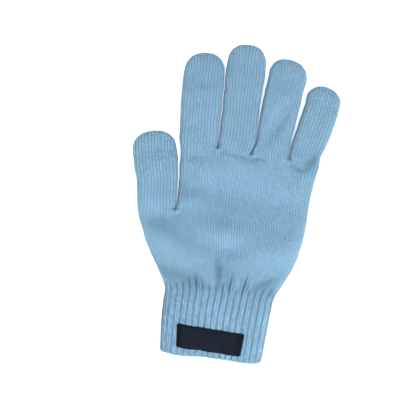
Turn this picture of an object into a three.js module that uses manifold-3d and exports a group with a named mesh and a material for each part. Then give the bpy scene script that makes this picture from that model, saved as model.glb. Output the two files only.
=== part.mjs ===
// A knitted riding glove for the right hand, lying flat on its palm with its back up.
//
// Millimetres, +Z up. +Y runs from the cuff to the fingertips and the thumb is towards -X.
// The tables below give the glove as it lies, measured from the middle of the cuff's
// lower edge. The finished group is then moved so that the origin is under the middle
// of its bounding box.
//
// Every tube is a row of flattened rings. A ring has a flat underside on the surface
// that the glove lies on, a rounded fold at each side and a low dome on top.

import * as THREE from 'three';
import { mergeVertices } from 'three/addons/utils/BufferGeometryUtils.js';
import Module from 'manifold-3d';

const HAND_WALL = 1.6; // one layer of plain knit
const CUFF_WALL = 2.2; // one layer of ribbed knit, from a rib's crest to the inside
const PIECE_GAP = 0.3; // between two pieces that meet

const CUFF_LENGTH = 47;
const CUFF_RIBS = 36; // raised ribs all the way round
const RIB_DEPTH = 0.9;
const CROTCH_Y = 151; // where the four finger tubes leave the palm
const THUMB_ROOT_Y = 107; // where the thumb's tube leaves the palm
const FAR = 300; // beyond the glove in any direction

const LABEL = { width: 49.5, height: 15.8, thick: 0.8, columns: 12, x: -2.3, y: 11.8, turnDegrees: -1.8 };

const PALM_RING = { count: 40, topPower: 5, bottomPower: 10, fold: 0.42 };
const TUBE_RING = { count: 20, topPower: 2.6, bottomPower: 5, fold: 0.42 };
const CUFF_RING = { count: 4 * CUFF_RIBS, topPower: 4.5, bottomPower: 8, fold: 0.45 };
const BORE_SHARE = 0.6; // a hollow's ring has this share of its tube's points
const TIP_RINGS = 4; // rings that close a round fingertip
const OUTSIDE_STEP = 9; // the rings of a tube are about this far apart
const HOLLOW_STEP = 18; // and those of its hollow
const HIDDEN_REACH = 3; // a bore runs this far past the open end of its tube

// One row for each width measured across the glove: the left and right edges at y, and
// the height of the dome there.
const CUFF_ROWS = [
  { y: 0, left: -37.3, right: 36.9, height: 10.8 },
  { y: 12, left: -38.2, right: 37.5, height: 10.6 },
  { y: 26, left: -39.2, right: 37.9, height: 10.5 },
  { y: 38, left: -39.2, right: 38.5, height: 10.5 },
  { y: CUFF_LENGTH, left: -39.0, right: 39.6, height: 10.7 },
];
const PALM_ROWS = [
  { y: CUFF_LENGTH + PIECE_GAP, left: -39.2, right: 39.8, height: 10.8 },
  { y: 52, left: -40.0, right: 42.4, height: 11.8 },
  { y: 60, left: -41.0, right: 46.9, height: 12.0 },
  { y: 75, left: -41.0, right: 53.1, height: 11.8 },
  { y: 88, left: -40.4, right: 55.9, height: 11.6 },
  { y: 105, left: -38.2, right: 57.5, height: 11.6 },
  { y: 122, left: -38.4, right: 57.9, height: 11.4 },
  { y: 135, left: -39.6, right: 59.7, height: 11.1 },
  { y: 144, left: -40.3, right: 60.8, height: 10.2 },
  { y: CROTCH_Y, left: -40.9, right: 61.4, height: 9.0 },
];

// The tubes that branch off the palm. Each starts inside the palm, so that it leaves a
// valley beside it, and its last row is the start of the round tip.
const THUMB = {
  name: 'thumb',
  tip: { x: -60.6, y: 158.6 },
  rows: [
    { y: CUFF_LENGTH + PIECE_GAP, left: -39.2, right: -6.0, height: 10.8 },
    { y: 58, left: -45.0, right: -10.0, height: 11.7 },
    { y: 68, left: -51.0, right: -15.0, height: 11.9 },
    { y: 78, left: -56.8, right: -21.0, height: 11.9 },
    { y: 88, left: -61.2, right: -28.0, height: 11.7 },
    { y: 98, left: -64.8, right: -35.0, height: 11.4 },
    { y: THUMB_ROOT_Y, left: -66.5, right: -38.9, height: 11.4 },
    { y: 120, left: -68.4, right: -38.9, height: 11.2 },
    { y: 133, left: -71.5, right: -40.4, height: 10.9 },
    { y: 143, left: -74.0, right: -42.2, height: 10.4 },
  ],
};
const FINGERS = [
  {
    name: 'index_finger',
    tip: { x: -29.8, y: 219.3 },
    rows: [
      { y: 130, left: -36.5, right: -14.0, height: 10.0 },
      { y: 141, left: -39.6, right: -12.8, height: 11.3 },
      { y: CROTCH_Y, left: -40.9, right: -13.5, height: 11.2 },
      { y: 165, left: -42.7, right: -13.8, height: 10.9 },
      { y: 180, left: -43.8, right: -14.1, height: 10.6 },
      { y: 195, left: -44.5, right: -14.4, height: 10.3 },
      { y: 204, left: -44.4, right: -14.8, height: 10.0 },
    ],
  },
  {
    name: 'middle_finger',
    tip: { x: 0, y: 229.2 },
    rows: [
      { y: 130, left: -11.0, right: 8.6, height: 10.0 },
      { y: 141, left: -12.7, right: 10.4, height: 11.3 },
      { y: CROTCH_Y, left: -13.0, right: 10.8, height: 11.2 },
      { y: 165, left: -13.3, right: 13.4, height: 10.9 },
      { y: 180, left: -13.5, right: 14.0, height: 10.6 },
      { y: 195, left: -13.8, right: 14.0, height: 10.4 },
      { y: 206, left: -14.2, right: 14.6, height: 10.2 },
      { y: 214, left: -13.8, right: 14.3, height: 10.0 },
    ],
  },
  {
    name: 'ring_finger',
    tip: { x: 32, y: 222.5 },
    rows: [
      { y: 130, left: 12.6, right: 35.2, height: 10.0 },
      { y: 141, left: 10.9, right: 38.1, height: 11.3 },
      { y: CROTCH_Y, left: 11.3, right: 38.6, height: 11.2 },
      { y: 165, left: 14.2, right: 39.9, height: 10.9 },
      { y: 180, left: 15.0, right: 41.8, height: 10.6 },
      { y: 195, left: 15.8, right: 43.2, height: 10.3 },
      { y: 208, left: 17.2, right: 44.4, height: 10.0 },
    ],
  },
  {
    name: 'little_finger',
    tip: { x: 59.6, y: 206.2 },
    rows: [
      { y: 130, left: 39.0, right: 56.4, height: 9.8 },
      { y: 141, left: 38.5, right: 60.0, height: 10.8 },
      { y: CROTCH_Y, left: 39.1, right: 61.4, height: 10.6 },
      { y: 165, left: 40.8, right: 65.7, height: 10.3 },
      { y: 176, left: 43.0, right: 68.6, height: 10.1 },
      { y: 187, left: 45.2, right: 70.9, height: 9.9 },
      { y: 193, left: 46.2, right: 71.4, height: 9.7 },
    ],
  },
];

// The folds and dents of the upper side, as soft furrows: the middle of each, the reach
// of its two axes, the turn of the first axis from +X, and its depth. A rise is negative.
const FOLDS = [
  { name: 'fold under the knuckles', x: 14, y: 140, along: 24, across: 3.5, turn: -3, depth: 0.9 },
  { name: 'crease at the little finger', x: 50, y: 144, along: 10, across: 3.0, turn: 38, depth: 0.9 },
  { name: 'hollow of the ring finger', x: 28, y: 170, along: 16, across: 4.0, turn: 62, depth: 1.2 },
  { name: 'thumb crotch', x: -36, y: 102, along: 9, across: 4.0, turn: 60, depth: 1.8 },
  { name: 'hollow of the hand', x: -6, y: 84, along: 30, across: 7.0, turn: 0, depth: 1.2 },
  { name: 'slack over the cuff', x: 4, y: 61, along: 34, across: 4.0, turn: 0, depth: -0.8 },
  { name: 'pleat at the right', x: 26, y: 60, along: 10, across: 2.6, turn: 115, depth: 1.4 },
];

const KNIT_BLUE = 0x83accb;
const RIB_BLUE = 0x80aacb;
const LABEL_DARK = 0x1c232e;
const KNIT_ROUGHNESS = 0.95;
const LABEL_ROUGHNESS = 0.8;

function lerp(a, b, t) {
  return a + (b - a) * t;
}

// The row of a table at y, between its two nearest rows.
function rowAt(rows, y) {
  const next = rows.findIndex((row) => row.y >= y);
  if (next <= 0) {
    return { ...rows[next === 0 ? 0 : rows.length - 1], y };
  }
  const before = rows[next - 1];
  const after = rows[next];
  const t = (y - before.y) / (after.y - before.y);
  return {
    y,
    left: lerp(before.left, after.left, t),
    right: lerp(before.right, after.right, t),
    height: lerp(before.height, after.height, t),
  };
}

// Rows about a step apart, from the first row of a table to its last.
function evenRows(rows, step) {
  const start = rows[0].y;
  const end = rows[rows.length - 1].y;
  const steps = Math.ceil((end - start) / step);
  const all = [];
  for (let k = 0; k <= steps; k += 1) {
    all.push(rowAt(rows, lerp(start, end, k / steps)));
  }
  return all;
}

// The rows of a tube and of the round tip that closes it.
function tippedRows({ rows, tip }, step) {
  const all = evenRows(rows, step);
  const last = all[all.length - 1];
  const middle = (last.left + last.right) / 2;
  const half = (last.right - last.left) / 2;
  for (let k = 1; k <= TIP_RINGS; k += 1) {
    const angle = (k / (TIP_RINGS + 0.35)) * (Math.PI / 2);
    const climb = Math.sin(angle);
    const x = lerp(middle, tip.x, climb);
    const width = half * Math.cos(angle) ** 0.92;
    all.push({
      y: lerp(last.y, tip.y, climb),
      left: x - width,
      right: x + width,
      height: lerp(last.height, last.height * 0.62, climb ** 4),
    });
  }
  return all;
}

// How far the folds lower the upper side at a point.
function foldDepth(x, y) {
  let depth = 0;
  for (const fold of FOLDS) {
    const turn = THREE.MathUtils.degToRad(fold.turn);
    const dx = x - fold.x;
    const dy = y - fold.y;
    const u = (dx * Math.cos(turn) + dy * Math.sin(turn)) / fold.along;
    const v = (dy * Math.cos(turn) - dx * Math.sin(turn)) / fold.across;
    depth += fold.depth * Math.exp(-u * u - v * v);
  }
  return depth;
}

// The points of one flattened ring, inset by a wall thickness.
function ringPoints(row, ring, wall, folded) {
  const left = row.left + wall;
  const right = row.right - wall;
  const top = row.height - wall;
  const edge = lerp(wall, top, ring.fold);
  const points = [];
  for (let i = 0; i < ring.count; i += 1) {
    const angle = (2 * Math.PI * i) / ring.count;
    const s = Math.cos(angle);
    const x = lerp(left, right, (1 + s) / 2);
    const upper = Math.sin(angle) >= 0;
    const power = upper ? ring.topPower : ring.bottomPower;
    const swell = Math.sqrt(Math.max(0, 1 - Math.abs(s) ** power));
    let z = edge;
    if (upper) {
      const dent = folded ? foldDepth(x, row.y) * swell : 0;
      z += (top - edge) * swell - dent;
    } else {
      z -= (edge - wall) * Math.min(1, swell * 1.06);
    }
    points.push(new THREE.Vector3(x, row.y, z));
  }
  return points;
}

// The faces between two rings of a mesh, the second one further along the tube.
function band(count, from, to) {
  const faces = [];
  for (let i = 0; i < count; i += 1) {
    const next = (i + 1) % count;
    const [a, b] = [from * count + i, from * count + next];
    const [c, d] = [to * count + i, to * count + next];
    faces.push(a, c, b, b, c, d);
  }
  return faces;
}

function meshOf(rings, faces) {
  const positions = rings.flatMap((ring) => ring.flatMap((point) => point.toArray()));
  const geometry = new THREE.BufferGeometry();
  geometry.setAttribute('position', new THREE.Float32BufferAttribute(positions, 3));
  geometry.setIndex(faces);
  return geometry;
}

// A closed mesh through upright rings with the same number of points, with flat ends.
function loft(rings) {
  const count = rings[0].length;
  const faces = rings.slice(1).flatMap((_, r) => band(count, r, r + 1));
  for (const end of [0, rings.length - 1]) {
    const outline = rings[end].map((point) => new THREE.Vector2(point.x, point.z));
    for (const [a, b, c] of THREE.ShapeUtils.triangulateShape(outline, [])) {
      const face = end === 0 ? [a, b, c] : [a, c, b];
      faces.push(...face.map((i) => end * count + i));
    }
  }
  return meshOf(rings, faces);
}

// A closed mesh of a pipe: along its outer rings, and back along the rings of its bore.
function pipe(outer, bore) {
  const rings = [...outer, ...bore.toReversed()];
  return meshOf(rings, rings.flatMap((ring, r) => band(ring.length, r, (r + 1) % rings.length)));
}

const wasm = await Module();
wasm.setup();

function toSolid(geometry) {
  const bare = geometry.clone();
  bare.deleteAttribute('normal');
  bare.deleteAttribute('uv');
  const merged = mergeVertices(bare);
  return new wasm.Manifold(
    new wasm.Mesh({
      numProp: 3,
      vertProperties: Float32Array.from(merged.attributes.position.array),
      triVerts: Uint32Array.from(merged.index.array),
    }),
  );
}

function toMesh(solid, name, color, roughness) {
  const { vertProperties, triVerts } = solid.getMesh();
  const geometry = new THREE.BufferGeometry();
  geometry.setAttribute('position', new THREE.BufferAttribute(vertProperties, 3));
  geometry.setIndex(new THREE.BufferAttribute(triVerts, 1));
  geometry.computeVertexNormals();
  const material = new THREE.MeshStandardMaterial({ color, roughness, metalness: 0 });
  const mesh = new THREE.Mesh(geometry, material);
  mesh.name = name;
  return mesh;
}

// The outer form of a tube through rows.
function outerTube(rows, ring) {
  return toSolid(loft(rows.map((row) => ringPoints(row, ring, 0, true))));
}

// The hollow of a tube through rows, a wall inside its outer form.
function hollowTube(rows, ring, wall) {
  const bore = { ...ring, count: 2 * Math.round((ring.count * BORE_SHARE) / 2) };
  return toSolid(loft(rows.map((row) => ringPoints(row, bore, wall, true))));
}

// The same rows with an end moved out, so that a bore runs past the end of its tube.
function reach(rows, atStart, atEnd) {
  const first = rows[0];
  const last = rows[rows.length - 1];
  return [{ ...first, y: first.y - atStart }, ...rows.slice(1, -1), { ...last, y: last.y + atEnd }];
}

// The rows of a closed tube's hollow: its tip stops a wall short of the tube's.
function hollowTipRows(branch) {
  const last = branch.rows[branch.rows.length - 1];
  const start = { ...last, y: last.y - HAND_WALL / 2 };
  const tip = { x: branch.tip.x, y: branch.tip.y - HAND_WALL };
  return tippedRows({ rows: [...branch.rows.slice(0, -1), start], tip }, HOLLOW_STEP);
}

// The palm with the stumps of its branches, less the hollow inside them.
function palmSolid() {
  const hollowRows = reach(evenRows(PALM_ROWS, HOLLOW_STEP), HIDDEN_REACH, -HAND_WALL);
  let outside = outerTube(evenRows(PALM_ROWS, OUTSIDE_STEP), PALM_RING);
  let hollow = hollowTube(hollowRows, PALM_RING, HAND_WALL);
  for (const branch of [THUMB, ...FINGERS]) {
    const start = branch === THUMB ? HIDDEN_REACH : -HAND_WALL;
    const bore = reach(hollowTipRows(branch), start, 0);
    const stump = outerTube(tippedRows(branch, OUTSIDE_STEP), TUBE_RING).subtract(above(rootOf(branch)));
    outside = outside.add(stump);
    hollow = hollow.add(hollowTube(bore, TUBE_RING, HAND_WALL));
  }
  return outside.subtract(hollow);
}

// One finger or the thumb, from its root to its tip, open at the root.
function branchSolid(branch) {
  const outside = outerTube(tippedRows(branch, OUTSIDE_STEP), TUBE_RING);
  const hollow = hollowTube(hollowTipRows(branch), TUBE_RING, HAND_WALL);
  return outside.subtract(hollow).intersect(above(rootOf(branch) + PIECE_GAP));
}

function rootOf(branch) {
  return branch === THUMB ? THUMB_ROOT_Y : CROTCH_Y;
}

// Everything beyond y.
function above(y) {
  const geometry = new THREE.BoxGeometry(2 * FAR, FAR, 2 * FAR);
  geometry.translate(0, y + FAR / 2, 0);
  return toSolid(geometry);
}

// The ribbed cuff, open at both ends.
function cuffSolid() {
  const outer = CUFF_ROWS.map((row) => ribbed(ringPoints(row, CUFF_RING, 0, false), RIB_DEPTH));
  const bore = CUFF_ROWS.map((row) => ribbed(ringPoints(row, CUFF_RING, CUFF_WALL, false), 0));
  return toSolid(pipe(outer, bore));
}

// A smooth ring walked in equal steps and sunk between the ribs, two steps in every four.
function ribbed(ring, depth) {
  const path = new THREE.CurvePath();
  ring.forEach((point, i) => path.add(new THREE.LineCurve3(point, ring[(i + 1) % ring.length])));
  const along = new THREE.Vector3(0, 1, 0);
  return ring.map((_, i) => {
    const t = i / ring.length;
    const inward = path.getTangentAt(t).cross(along).normalize();
    return path.getPointAt(t).addScaledVector(inward, i % 4 < 2 ? 0 : depth);
  });
}

// The woven label lies on the crests of the ribs and follows the cuff's dome.
function labelSolid() {
  const geometry = new THREE.BoxGeometry(LABEL.width, LABEL.height, LABEL.thick, LABEL.columns);
  geometry.rotateZ(THREE.MathUtils.degToRad(LABEL.turnDegrees));
  geometry.translate(LABEL.x, LABEL.y, PIECE_GAP + LABEL.thick / 2);
  const corners = geometry.attributes.position;
  for (let i = 0; i < corners.count; i += 1) {
    corners.setZ(i, corners.getZ(i) + cuffTop(corners.getX(i), corners.getY(i)));
  }
  return toSolid(geometry);
}

// The height of the cuff's crests over a point.
function cuffTop(x, y) {
  const row = rowAt(CUFF_ROWS, y);
  const s = (2 * (x - row.left)) / (row.right - row.left) - 1;
  const edge = row.height * CUFF_RING.fold;
  return edge + (row.height - edge) * Math.sqrt(Math.max(0, 1 - Math.abs(s) ** CUFF_RING.topPower));
}

const glove = new THREE.Group();
glove.add(toMesh(cuffSolid(), 'cuff', RIB_BLUE, KNIT_ROUGHNESS));
glove.add(toMesh(palmSolid(), 'palm', KNIT_BLUE, KNIT_ROUGHNESS));
for (const branch of [THUMB, ...FINGERS]) {
  glove.add(toMesh(branchSolid(branch), branch.name, KNIT_BLUE, KNIT_ROUGHNESS));
}
glove.add(toMesh(labelSolid(), 'label', LABEL_DARK, LABEL_ROUGHNESS));

const bounds = new THREE.Box3().setFromObject(glove);
const centre = bounds.getCenter(new THREE.Vector3());
glove.position.set(-centre.x, -centre.y, -bounds.min.z);

export default glove;
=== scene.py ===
"""A knitted riding glove for the right hand, lying flat on its palm with its back up."""

import math
from collections import namedtuple

import bmesh
import bpy
import numpy as np
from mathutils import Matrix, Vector, noise
from mathutils.bvhtree import BVHTree


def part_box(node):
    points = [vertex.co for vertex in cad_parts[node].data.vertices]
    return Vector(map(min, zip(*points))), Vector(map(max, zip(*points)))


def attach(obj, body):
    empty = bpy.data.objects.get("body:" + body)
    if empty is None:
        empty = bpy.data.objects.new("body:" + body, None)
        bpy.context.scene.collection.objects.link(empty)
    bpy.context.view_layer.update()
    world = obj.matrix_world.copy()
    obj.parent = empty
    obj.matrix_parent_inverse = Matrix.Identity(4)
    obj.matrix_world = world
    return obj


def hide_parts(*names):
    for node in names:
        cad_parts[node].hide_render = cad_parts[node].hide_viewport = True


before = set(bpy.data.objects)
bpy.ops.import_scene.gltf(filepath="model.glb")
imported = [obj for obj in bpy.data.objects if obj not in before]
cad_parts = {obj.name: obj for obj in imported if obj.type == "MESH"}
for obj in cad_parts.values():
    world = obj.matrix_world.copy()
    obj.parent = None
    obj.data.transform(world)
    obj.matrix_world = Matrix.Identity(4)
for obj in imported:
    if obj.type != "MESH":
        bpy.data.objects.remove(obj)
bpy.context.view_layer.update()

MM = 0.001

# Sizes below are in millimetres, measured from the middle of the cuff's lower edge: +Y
# towards the fingertips, -X towards the thumb. GLOVE_X and GLOVE_Y move them into the frame.
CUFF_LEFT_EDGE = -39.2
GLOVE_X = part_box("cuff")[0].x / MM - CUFF_LEFT_EDGE
GLOVE_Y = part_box("cuff")[0].y / MM

CUFF_LENGTH = 47.0
RIBS = 18  # raised ribs on one side of the cuff
COLUMNS_PER_RIB = 8
RIB_PHASE = 3  # the first furrow is this many columns in from the thumb's side
RIB_DEPTH = 1.0
CUFF_WALL = 2.2
HAND_WALL = 1.6
DOT_HEIGHT = 0.4  # the grip dots hold the knit this far off the surface
FOLD_SHARE = 0.5  # the side folds of a tube are at this share of its height
COURSE = 1.42  # one row of stitches

Row = namedtuple("Row", "y left right height")
# A digit leans to the right in degrees, and its root rises or falls from left to right.
Digit = namedtuple("Digit", "columns lean tip_x tip_y root_left root_right rows")
Fold = namedtuple("Fold", "x y along across turn depth")

# The cuff and the lower hand, with the thumb's base.
LOWER_ROWS = (
    Row(0, -37.3, 37.2, 10.8),
    Row(12, -38.2, 38.1, 10.6),
    Row(26, -39.2, 38.9, 10.5),
    Row(38, -39.3, 39.8, 10.5),
    Row(46, -39.1, 40.5, 10.7),
    Row(50, -40.6, 41.6, 11.4),
    Row(58, -45.0, 45.7, 12.0),
    Row(67, -50.4, 49.9, 12.0),
    Row(77, -56.4, 53.6, 11.8),
    Row(88, -61.2, 55.9, 11.7),
    Row(98, -64.9, 57.0, 11.6),
    Row(107, -66.5, 57.6, 11.6),
)
# The hand between the thumb's crotch and the fingers.
UPPER_ROWS = (
    Row(104.9, -38.5, 57.5, 11.6),
    Row(115, -38.1, 57.7, 11.5),
    Row(124, -38.3, 58.2, 11.4),
    Row(135, -39.2, 59.6, 11.3),
    Row(146, -39.9, 61.4, 11.2),
    Row(153, -40.9, 61.4, 11.1),
)
THUMB_CROTCH = (-38.5, 104.9)
THUMB = Digit(30, -9.0, -60.6, 158.6, 100.5, 104.9, (
    Row(102.7, -66.0, -38.5, 11.6),
    Row(112, -67.2, -38.6, 11.3),
    Row(120, -68.4, -38.8, 11.1),
    Row(131, -71.1, -40.1, 10.9),
    Row(139, -73.4, -41.5, 10.6),
    Row(145, -74.4, -42.9, 10.3),
))
# The index, the middle, the ring and the little finger.
FINGERS = (
    Digit(30, -3.4, -29.8, 219.3, 151.0, 152.7, (
        Row(151.85, -40.9, -13.3, 11.2),
        Row(158, -42.0, -13.5, 11.1),
        Row(166, -42.9, -13.75, 10.9),
        Row(180, -43.8, -14.0, 10.6),
        Row(195, -44.5, -14.35, 10.3),
        Row(204, -44.4, -14.8, 10.0),
    )),
    Digit(28, -0.3, 0.0, 228.9, 152.7, 151.0, (
        Row(151.85, -13.3, 10.9, 11.2),
        Row(156, -13.2, 12.9, 11.1),
        Row(162, -13.25, 13.7, 11.0),
        Row(170, -13.4, 13.8, 10.8),
        Row(182, -13.55, 13.7, 10.6),
        Row(195, -13.8, 13.7, 10.4),
        Row(206, -14.3, 14.4, 10.2),
        Row(214, -14.1, 14.4, 10.0),
    )),
    Digit(30, 6.2, 31.6, 221.6, 151.0, 150.4, (
        Row(150.7, 10.9, 38.8, 11.2),
        Row(156, 13.2, 38.7, 11.1),
        Row(162, 13.9, 39.2, 11.0),
        Row(170, 14.1, 40.0, 10.8),
        Row(182, 14.5, 41.4, 10.5),
        Row(195, 15.5, 43.0, 10.3),
        Row(208, 17.0, 45.0, 10.0),
    )),
    Digit(26, 11.3, 60.6, 204.9, 150.4, 146.2, (
        Row(148.3, 38.8, 61.4, 11.2),
        Row(156, 39.1, 61.9, 10.4),
        Row(164, 40.7, 64.8, 10.3),
        Row(176, 43.2, 68.1, 10.1),
        Row(187, 45.3, 70.5, 9.9),
        Row(193, 46.3, 71.4, 9.7),
    )),
)
CROTCHES = [THUMB_CROTCH] + [(f.rows[0].right, f.root_right) for f in FINGERS[:-1]]

COLUMNS = RIBS * COLUMNS_PER_RIB  # columns of the mesh on each side of the glove
ROW_STEP = 1.15
TIP_ROWS = 16
SECTION_STEPS = 240

# How square a section is on its back and on its palm side, where an ellipse has 2.
HAND_POWERS = (8.0, 10.0)
CROTCH_POWERS = (60.0, 40.0)  # beside the thumb the hand's edge starts as square as the thumb's
TUBE_POWERS = (7.5, 7.0)
ROOT_POWERS = (15.0, 11.0)  # where the fingers start they are still pressed together
PRESSED = 1.06  # above 1, an underside lies flat over more of its width
# Names that end in EASE are the stretch on which one state passes into the next.
SIDE_EASE = 24.0  # the sides, from square to round
REST_EASE = 14.0  # the underside, from the surface onto its dots
ROOT_EASE = 20.0  # a digit, from square to round
TURN_EASE = 18.0  # its rows, from the slope of its root to square across it
SLACK_EASE = 8.0  # the hand, from the cuff to its folds
BACK_EASE = 4.0  # the shade of the creases, from a side up onto the back
# The parting between two digits fades below their crotch in shares, each on its own length
# and with its own sharpness.
PARTING_FADES = ((0.8, 0.75, 1.3), (0.2, 11.0, 1.0))
# The outer side of the hand and its edge beside the thumb, in columns of the mesh: all of
# the first number, fading over the second.
OUTER_SIDE = (6, 12)
CROTCH_SIDE = (4, 20)

TIP_POWER = 0.87  # below 1, a fingertip is squarer than half an ellipse
TIP_CLOSING = 0.7  # the same for its height
TIP_DROOP = 1.8  # how much thinner a digit gets towards its tip
DROOP_START, DROOP_EASE = 14.0, 16.0
THINNEST = 1e-4

SIDE_HEIGHT = 5.2  # what lies higher is on the back of the glove
FULL_HEIGHT = 11.0  # from here on its folds have their full depth
# The unevenness of slack knit.
Waves = namedtuple("Waves", "squeeze size height start")
LUMPS = Waves((1, 0.8, 0.4), 17.0, 0.42, 7.0)
RIPPLES = Waves((1, 0.55, 0.4), 5.0, 0.09, 31.0)
EDGE_SWAY = Waves((0.3, 1, 0), 9.0, 0.4, 3.0)
EDGE_WOBBLE = Waves((1, 1, 0), 3.4, 0.3, 17.0)
ROW_WOBBLE = Waves((1, 1, 0), 3.8, 0.3, 57.0)
# Round each crotch, where the stitches were cast on, short creases run out, and below it
# lies a knot with a hollow round it.
Round = namedtuple("Round", "height reach width")
CAST_ON_CREASES = Round(0.4, 4.0, 2.6)
CAST_ON_KNOT = Round(1.0, 2.3, 1.3)
CAST_ON_HOLLOW = Round(0.6, 5.6, 1.5)
CREASES_ROUND = 6
CREASE_SHIFT = 0.6  # for each millimetre in x, so that no two crotches are alike
CROTCH_EASE = 4.0
# For each furrow from the thumb's side on: how far above the cuff it runs on into the hand,
# and how many times deeper it gets there.
PLEATS = (
    (5, 1.2), (6, 1.2), (7, 1.3), (8, 1.4), (13, 1.5), (14, 1.7), (11, 1.5), (8, 1.3),
    (9, 1.5), (11, 1.5), (20, 1.6), (7, 1.3), (21, 1.7), (8, 1.3), (8, 1.4), (11, 1.6),
    (12, 1.5), (7, 1.2), (5, 1.0), (9, 1.2), (6, 1.0), (12, 1.4), (7, 1.0), (9, 1.3),
    (6, 1.0), (14, 1.4), (8, 1.1), (6, 1.0), (11, 1.3), (7, 1.0), (13, 1.4), (6, 1.0),
    (8, 1.2), (10, 1.3), (6, 1.0), (8, 1.1),
)
PLEAT_HOLD = 0.35  # a pleat keeps its depth on this share of its reach
PLEAT_START, PLEAT_EASE = 4.0, 9.0  # it deepens from below the hand on
RIB_SWAY, SWAY_LENGTH, SWAY_SHIFT = 0.15, 43.0, 0.08
SWAY_SET_IN, SWAY_END, SWAY_FADE, SWAY_ABOVE = 8, 38, 12, 5
RIB_SHARPNESS = 2.6  # above 1, the furrows are narrower than the ribs
CROWN_GROOVE, CROWN_WIDTH = 0.45, 0.8  # the line between a rib's two columns of stitches
CUFF_ROWS = 41
INSIDE_SHARE = 0.45  # the inside of the cuff follows the furrows by this share
LIP_STEPS = 8
LIP_EASE = 13.0
LIP_SCALLOP = 0.5  # how far the ribs reach past the furrows at the cuff's edge
# How far the cuff's edge hangs down at places across it.
LIP_DROP = (
    (-38, 1.0), (-32, 1.1), (-25, 1.4), (-15, 1.15), (-10, 0.55), (1, 0.55), (13, 0.7),
    (24, 1.2), (31, 1.15), (38, 0.55),
)
CORNER_RISE, CORNER_AT, CORNER_WIDTH = 2.4, 37.5, 3.0  # its corners rise again
UNDERLAP = (0.7, 0.25)  # how deep the hand's lowest rows are tucked under the cuff's skin
WELD = 0.004  # points nearer than this are joined
STITCH_MAP = "stitches"
# The painted shade in the knit's furrows, pleats and creases; on the label it marks the darker
# ends.
SHADE_MAP = "hollow"
# Columns of stitches in one column of the mesh, on the hand and on its digits.
HAND_WALES, DIGIT_WALES = 0.45, 0.52
STITCH_MIDDLE = 0.45  # where the two legs of a stitch meet, as a share of its width
# The columns of stitches across one rib, counted at each column of the mesh: a narrow one
# in the furrow, and then two wide ones.
RIB_WALES = (0.5, 1.0, 4 / 3, 5 / 3, 2.0, 7 / 3, 8 / 3, 3.0)

# The label's corners: lower left, lower right, upper right, upper left.
LABEL_CORNERS = (
    np.array([-25.7, 4.9]),
    np.array([21.1, 3.1]),
    np.array([22.5, 19.7]),
    np.array([-27.3, 21.6]),
)
LABEL_SIZE = (49.5, 16.6)
LABEL_GRID = (140, 36)
LABEL_THICK = 0.55
LABEL_THREAD = 0.5
LABEL_CORNER, CORNER_TRIM = 1.1, 0.3
SAG, SAG_AT, SAG_WIDTH = 0.6, 0.12, 0.1  # the lower edge sags near its left end
EDGE_WAVE, WAVE_TURN = 0.3, 21
ROUNDED_EDGE, EDGE_LOSS = 0.8, 0.62
END_FOLD, END_EASE, END_RISE = 4.0, 1.0, 0.22  # the ends are folded under, and stand higher
END_SHADE, SHADE_EASE = 3.6, 1.2  # they are darker too
SEAM_LINE, SEAM_WIDTH, SEAM_TUCK = 1.3, 0.5, 0.2
PUFF, PUFF_ALONG, PUFF_ACROSS = 0.22, 9, 4
REST_GAP, REST_SINK = 0.03, 0.16  # above the ribs, and down between them
FRAY, FRAY_TURNS = 0.22, 1.7

SEAM_INSET = 1.2
SEAM_PULL = 0.1
STITCH_PITCH = 2.6
STITCH_LENGTH = 1.7
STITCH_RINGS, STITCH_SIDES = 7, 6
STITCH_TAPER = 0.75
STITCH_RISE, STITCH_DIVE = 0.12, 0.3
THREAD = 0.32

DOT_PITCH = 4.2
DOT_ROW_SHARE = math.sqrt(0.75)  # the rows of the staggered pattern are this much closer
DOT_ROWS, DOT_COLUMNS = 65, 20  # to the fingertips, and to each side
DOT_SIDES = 12
DOT_PROFILE = ((1.375, -0.06), (1.36, 0.16), (1.16, 0.32), (0.66, 0.395))
DOTS_START = 66.0  # the lowest dots, with a blank band of knit between them and the cuff
DOTS_CURVE = 14.0  # how much higher the pattern starts at the sides
DOTS_MIDDLE, DOTS_SIDE = -2.0, 40.0
HAND_MARGIN, DIGIT_MARGIN = 5.0, 4.6  # blank knit along the edges
BELOW_GLOVE = -20.0
FACING_DOWN = -0.8

KNIT_COLOUR = (0.205, 0.374, 0.522, 1.0)
# The cuff's yarn is the hand's, painted lighter as light caught on the ribs' crests.
LIT_RIB_COLOUR = (0.238, 0.431, 0.601, 1.0)
# Painted shade and light of the stitches: the colour is darkest in their gaps and brightest on
# their loops.
PAINTED_STITCH_SHADE = 0.15  # the brightness between the stitches
# Painted shade in the furrows, pleats and creases, which darkens the colour there.
PAINTED_FURROW_SHADE = 0.64  # the brightness at the bottom of a furrow
# For the rib and for the plain knit: how deep the partings between columns of stitches lie, how
# bright the painted light on the loops gets, and how far the tone of each stitch strays at random.
Knit = namedtuple("Knit", "parting bright uneven")
RIB_KNIT = Knit(0.8, 2.08, 0.2)
PLAIN_KNIT = Knit(0.7, 1.91, 0.12)
WANDER = (0.25, 0.4)  # how far the columns and the rows of stitches stray from their lines
LABEL_COLOUR = (0.0055, 0.0092, 0.0175, 1.0)
THREAD_COLOUR = (0.012, 0.016, 0.026, 1.0)
DOT_COLOUR = (0.012, 0.013, 0.016, 1.0)
FLOOR_COLOUR = (0.93, 0.93, 0.93, 1.0)
FLOOR_GLOW = 0.7  # the floor is a light table, which keeps the shadows pale
FLOOR_HALF, FLOOR_DROP = 3.0, 0.0002  # metres
BLEND = (28.0, 56.0)  # between these heights the rib's knit passes into the hand's
LOOP_POWER, LOOP_DARK = 1.6, 0.08
LEG_ARC = (0.18, 0.82)  # the rounding of a leg in half turns: its start and its length

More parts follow.
